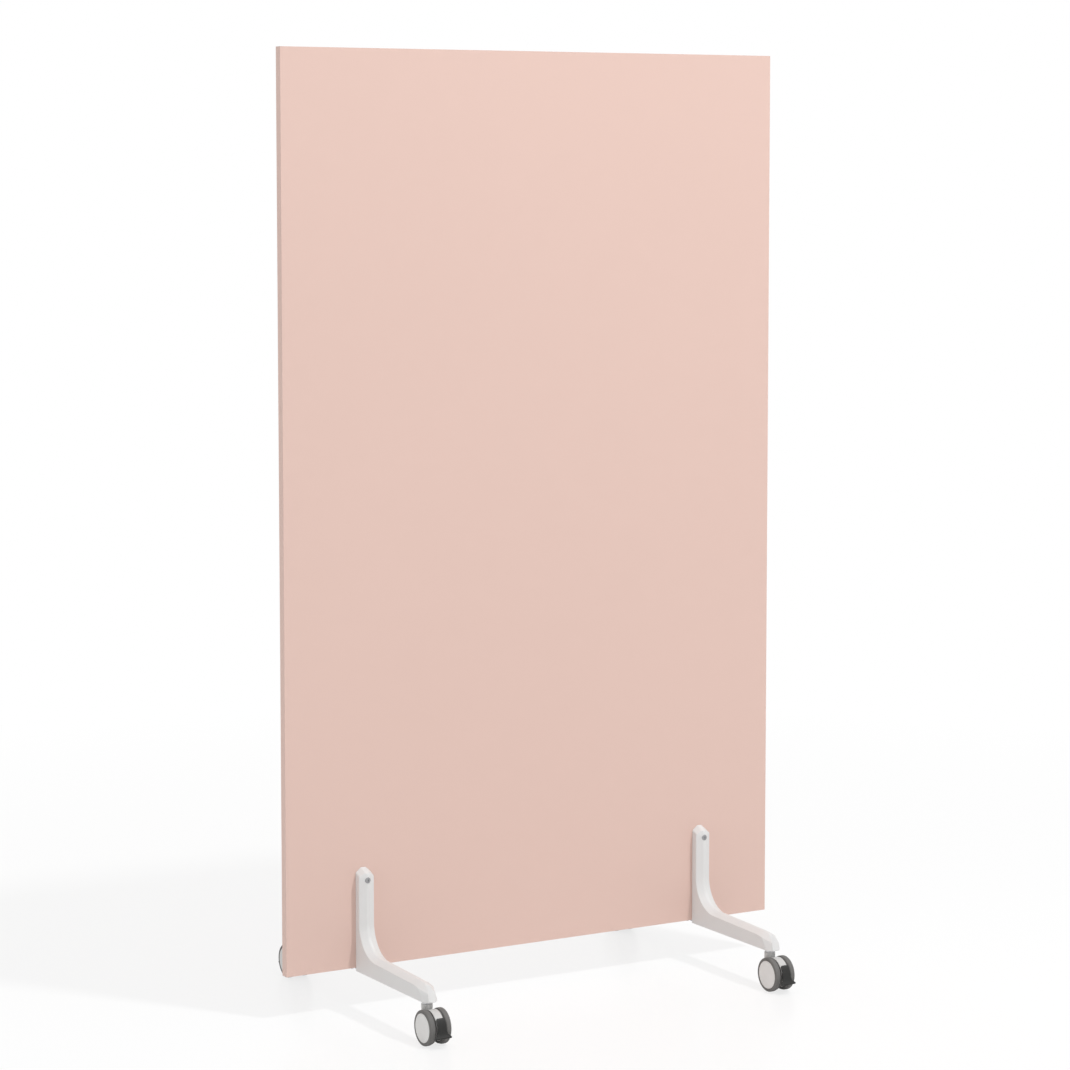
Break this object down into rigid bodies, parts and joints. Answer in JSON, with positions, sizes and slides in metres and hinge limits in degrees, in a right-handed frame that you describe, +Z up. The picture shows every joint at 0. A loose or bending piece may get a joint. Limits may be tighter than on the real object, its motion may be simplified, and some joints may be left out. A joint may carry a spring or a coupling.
{
  "type": "rolling partition",
  "caption": "Tall thin blush-pink board standing upright on light-grey cast feet with braked twin-wheel casters, for dividing a room.",
  "frame": {"origin": "on the floor, under the middle of the board: the centre of the bottom of the bounding box", "axes": "+X along the board to the viewer's right from the front, +Y to the back, the front faces -Y, +Z up"},
  "size_m": [1.016, 0.6144, 1.7045],
  "materials": {
    "board_core": "raw particle board, inside the board",
    "face_laminate": "smooth satin laminate, blush pink",
    "edge_band": "smooth matt edge band, a shade deeper than the faces",
    "cast_foot": "die-cast and powder-coated, satin light grey",
    "zinc_steel": "zinc-plated, dull grey",
    "hood_plastic": "moulded nylon, fine satin, light grey",
    "wheel_plastic": "moulded nylon, fine satin, light grey",
    "cap_plastic": "moulded cap, fine satin, light grey",
    "tread": "soft tyre, matt dark grey",
    "pedal_plastic": "moulded nylon, matt black"
  },
  "bodies": {
    "stand": {"board_core": "board_core", "front_face_sheet": "face_laminate", "rear_face_sheet": "face_laminate", "left_edge_band": "edge_band", "right_edge_band": "edge_band", "top_edge_band": "edge_band", "bottom_edge_band": "edge_band", "front_left_foot": "cast_foot", "front_right_foot": "cast_foot", "rear_left_foot": "cast_foot", "rear_right_foot": "cast_foot", "left_tie_plate": "zinc_steel", "right_tie_plate": "zinc_steel", "tie_screws": "zinc_steel", "clamp_screws": "zinc_steel", "sleeve_nuts": "zinc_steel", "front_left_stem": "zinc_steel", "front_right_stem": "zinc_steel", "rear_left_stem": "zinc_steel", "rear_right_stem": "zinc_steel"},
    "front_left_caster": {"front_left_hood": "hood_plastic", "front_left_axle": "zinc_steel", "front_left_pedal_pin": "zinc_steel"},
    "front_left_wheel_a": {"front_left_wheel_a": "wheel_plastic", "front_left_tread_a": "tread", "front_left_cap_a": "cap_plastic"},
    "front_left_wheel_b": {"front_left_wheel_b": "wheel_plastic", "front_left_tread_b": "tread", "front_left_cap_b": "cap_plastic"},
    "front_left_brake": {"front_left_pedal": "pedal_plastic"},
    "front_right_caster": {"front_right_hood": "hood_plastic", "front_right_axle": "zinc_steel", "front_right_pedal_pin": "zinc_steel"},
    "front_right_wheel_a": {"front_right_wheel_a": "wheel_plastic", "front_right_tread_a": "tread", "front_right_cap_a": "cap_plastic"},
    "front_right_wheel_b": {"front_right_wheel_b": "wheel_plastic", "front_right_tread_b": "tread", "front_right_cap_b": "cap_plastic"},
    "front_right_brake": {"front_right_pedal": "pedal_plastic"},
    "rear_left_caster": {"rear_left_hood": "hood_plastic", "rear_left_axle": "zinc_steel", "rear_left_pedal_pin": "zinc_steel"},
    "rear_left_wheel_a": {"rear_left_wheel_a": "wheel_plastic", "rear_left_tread_a": "tread", "rear_left_cap_a": "cap_plastic"},
    "rear_left_wheel_b": {"rear_left_wheel_b": "wheel_plastic", "rear_left_tread_b": "tread", "rear_left_cap_b": "cap_plastic"},
    "rear_left_brake": {"rear_left_pedal": "pedal_plastic"},
    "rear_right_caster": {"rear_right_hood": "hood_plastic", "rear_right_axle": "zinc_steel", "rear_right_pedal_pin": "zinc_steel"},
    "rear_right_wheel_a": {"rear_right_wheel_a": "wheel_plastic", "rear_right_tread_a": "tread", "rear_right_cap_a": "cap_plastic"},
    "rear_right_wheel_b": {"rear_right_wheel_b": "wheel_plastic", "rear_right_tread_b": "tread", "rear_right_cap_b": "cap_plastic"},
    "rear_right_brake": {"rear_right_pedal": "pedal_plastic"}
  },
  "joints": [
    {"name": "front_left_swivel", "type": "hinge", "parent": "stand", "child": "front_left_caster", "pos_m": [-0.3565, -0.2465, 0.057], "axis": [0, 0, 1], "continuous": true},
    {"name": "front_left_roll_a", "type": "hinge", "parent": "front_left_caster", "child": "front_left_wheel_a", "pos_m": [-0.3565, -0.2675, 0.031], "axis": [1, 0, 0], "continuous": true},
    {"name": "front_left_roll_b", "type": "hinge", "parent": "front_left_caster", "child": "front_left_wheel_b", "pos_m": [-0.3565, -0.2675, 0.031], "axis": [1, 0, 0], "continuous": true},
    {"name": "front_left_pedal", "type": "hinge", "parent": "front_left_caster", "child": "front_left_brake", "pos_m": [-0.3565, -0.2845, 0.04], "axis": [1, 0, 0], "range_deg": [0, 13]},
    {"name": "front_right_swivel", "type": "hinge", "parent": "stand", "child": "front_right_caster", "pos_m": [0.3565, -0.2465, 0.057], "axis": [0, 0, 1], "continuous": true},
    {"name": "front_right_roll_a", "type": "hinge", "parent": "front_right_caster", "child": "front_right_wheel_a", "pos_m": [0.3565, -0.2675, 0.031], "axis": [1, 0, 0], "continuous": true},
    {"name": "front_right_roll_b", "type": "hinge", "parent": "front_right_caster", "child": "front_right_wheel_b", "pos_m": [0.3565, -0.2675, 0.031], "axis": [1, 0, 0], "continuous": true},
    {"name": "front_right_pedal", "type": "hinge", "parent": "front_right_caster", "child": "front_right_brake", "pos_m": [0.3565, -0.2845, 0.04], "axis": [1, 0, 0], "range_deg": [0, 13]},
    {"name": "rear_left_swivel", "type": "hinge", "parent": "stand", "child": "rear_left_caster", "pos_m": [-0.3565, 0.2465, 0.057], "axis": [0, 0, 1], "continuous": true},
    {"name": "rear_left_roll_a", "type": "hinge", "parent": "rear_left_caster", "child": "rear_left_wheel_a", "pos_m": [-0.3565, 0.2675, 0.031], "axis": [1, 0, 0], "continuous": true},
    {"name": "rear_left_roll_b", "type": "hinge", "parent": "rear_left_caster", "child": "rear_left_wheel_b", "pos_m": [-0.3565, 0.2675, 0.031], "axis": [1, 0, 0], "continuous": true},
    {"name": "rear_left_pedal", "type": "hinge", "parent": "rear_left_caster", "child": "rear_left_brake", "pos_m": [-0.3565, 0.2845, 0.04], "axis": [-1, 0, 0], "range_deg": [0, 13]},
    {"name": "rear_right_swivel", "type": "hinge", "parent": "stand", "child": "rear_right_caster", "pos_m": [0.3565, 0.2465, 0.057], "axis": [0, 0, 1], "continuous": true},
    {"name": "rear_right_roll_a", "type": "hinge", "parent": "rear_right_caster", "child": "rear_right_wheel_a", "pos_m": [0.3565, 0.2675, 0.031], "axis": [1, 0, 0], "continuous": true},
    {"name": "rear_right_roll_b", "type": "hinge", "parent": "rear_right_caster", "child": "rear_right_wheel_b", "pos_m": [0.3565, 0.2675, 0.031], "axis": [1, 0, 0], "continuous": true},
    {"name": "rear_right_pedal", "type": "hinge", "parent": "rear_right_caster", "child": "rear_right_brake", "pos_m": [0.3565, 0.2845, 0.04], "axis": [-1, 0, 0], "range_deg": [0, 13]}
  ]
}
